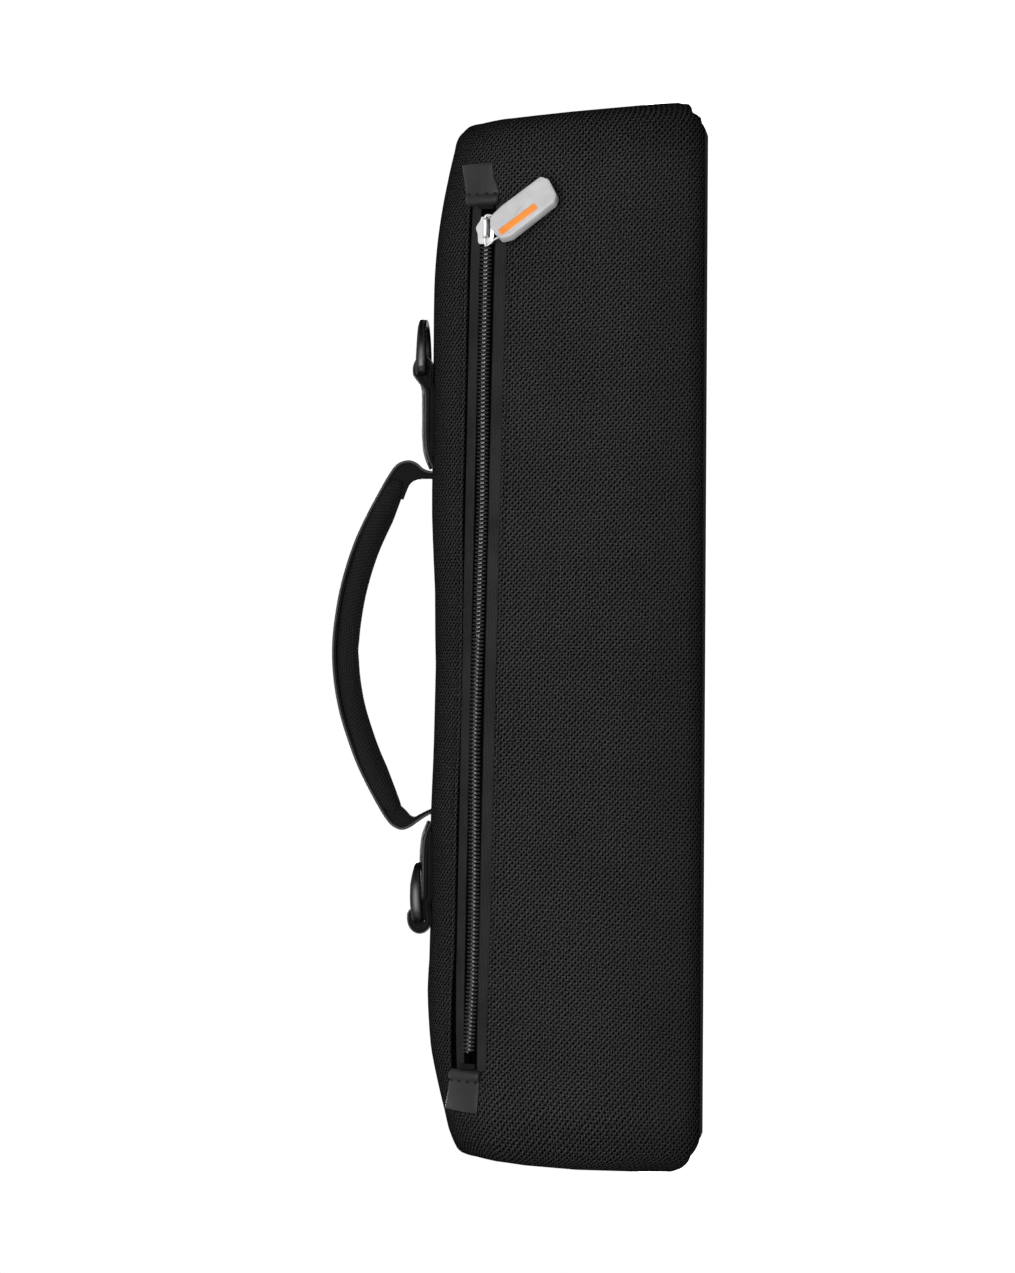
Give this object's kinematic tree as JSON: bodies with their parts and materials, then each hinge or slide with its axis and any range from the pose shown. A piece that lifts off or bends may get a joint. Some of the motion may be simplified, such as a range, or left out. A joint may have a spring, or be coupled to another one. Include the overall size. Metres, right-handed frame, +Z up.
{
  "type": "zipped soft flute case",
  "caption": "Long padded soft case for a flute, opened by a zip along its upper front edge, with a padded carrying handle and hinged strap rings on top.",
  "frame": {"origin": "centre of the flat bottom that the case stands on", "axes": "+X along the case, towards the end where the zip slider rests closed; -Y the front, with the zip; +Z up, through the handle"},
  "size_m": [0.44, 0.0766, 0.1553],
  "materials": {
    "cordura": "coarse plain weave",
    "base_cloth": "smooth coated cloth",
    "foam": "closed-cell foam",
    "lining": "short pile",
    "tape": "fine woven tape",
    "coil": "nylon coil",
    "black_leather": "smooth grained leather",
    "grip_mesh": "knitted mesh over padding",
    "ring_black": "glossy black",
    "chrome": "bright plated",
    "pull_grey": "soft moulded light grey"
  },
  "bodies": {
    "case_body": {"front_panel": "cordura", "back_panel": "cordura", "bottom_panel": "base_cloth", "right_top_panel": "cordura", "left_top_panel": "cordura", "right_end_panel": "cordura", "left_end_panel": "cordura", "bottom_padding": "foam", "front_padding": "foam", "back_padding": "foam", "right_top_padding": "foam", "left_top_padding": "foam", "right_end_padding": "foam", "left_end_padding": "foam", "bag_lining": "lining", "front_zip_tape": "tape", "right_rear_tape_end": "tape", "left_rear_tape_end": "tape", "front_zip_chain": "coil", "right_rear_chain_end": "coil", "left_rear_chain_end": "coil", "right_zip_stop": "chrome", "left_zip_stop": "chrome", "right_zip_tab": "black_leather", "left_zip_tab": "black_leather"},
    "top_flap": {"top_flap_panel": "cordura", "top_flap_padding": "foam", "top_flap_lining": "lining", "rear_zip_tape": "tape", "rear_zip_chain": "coil", "right_ring_strap": "black_leather", "left_ring_strap": "black_leather"},
    "slider": {"zip_slider": "chrome"},
    "link": {"pull_link": "chrome"},
    "puller": {"zip_pull": "pull_grey"},
    "handle": {"handle_grip": "grip_mesh", "handle_strap": "black_leather", "right_handle_neck": "black_leather", "left_handle_neck": "black_leather"},
    "right_ring": {"right_strap_ring": "ring_black"},
    "left_ring": {"left_strap_ring": "ring_black"}
  },
  "joints": [
    {"name": "flap_hinge", "type": "hinge", "parent": "case_body", "child": "top_flap", "pos_m": [0, 0.033, 0.0807], "axis": [-1, 0, 0], "range_deg": [0, 75]},
    {"name": "zip_slide", "type": "slide", "parent": "case_body", "child": "slider", "axis": [0.9998, -0.0077, -0.0164], "range_m": [-0.3367, 0], "deforming": ["front_zip_chain", "rear_zip_chain", "right_rear_chain_end", "left_rear_chain_end"]},
    {"name": "pull_swing", "type": "hinge", "parent": "slider", "child": "link", "pos_m": [0.16472, -0.03608, 0.09356], "axis": [-0.9998, 0.0077, 0.0164], "range_deg": [0, 130]},
    {"name": "puller_lift", "type": "hinge", "parent": "link", "child": "puller", "pos_m": [0.16698, -0.03861, 0.08608], "axis": [-0.8059, 0, -0.592], "range_deg": [0, 70]},
    {"name": "handle_tilt", "type": "hinge", "parent": "top_flap", "child": "handle", "pos_m": [-0.0039, 0, 0.11821], "axis": [1, 0, 0], "range_deg": [-35, 35]},
    {"name": "right_ring_turn", "type": "hinge", "parent": "top_flap", "child": "right_ring", "pos_m": [0.1076, 0, 0.1177], "axis": [0, -1, 0], "range_deg": [0, 165]},
    {"name": "left_ring_turn", "type": "hinge", "parent": "top_flap", "child": "left_ring", "pos_m": [-0.1162, 0, 0.1177], "axis": [0, -1, 0], "range_deg": [0, 165]}
  ]
}
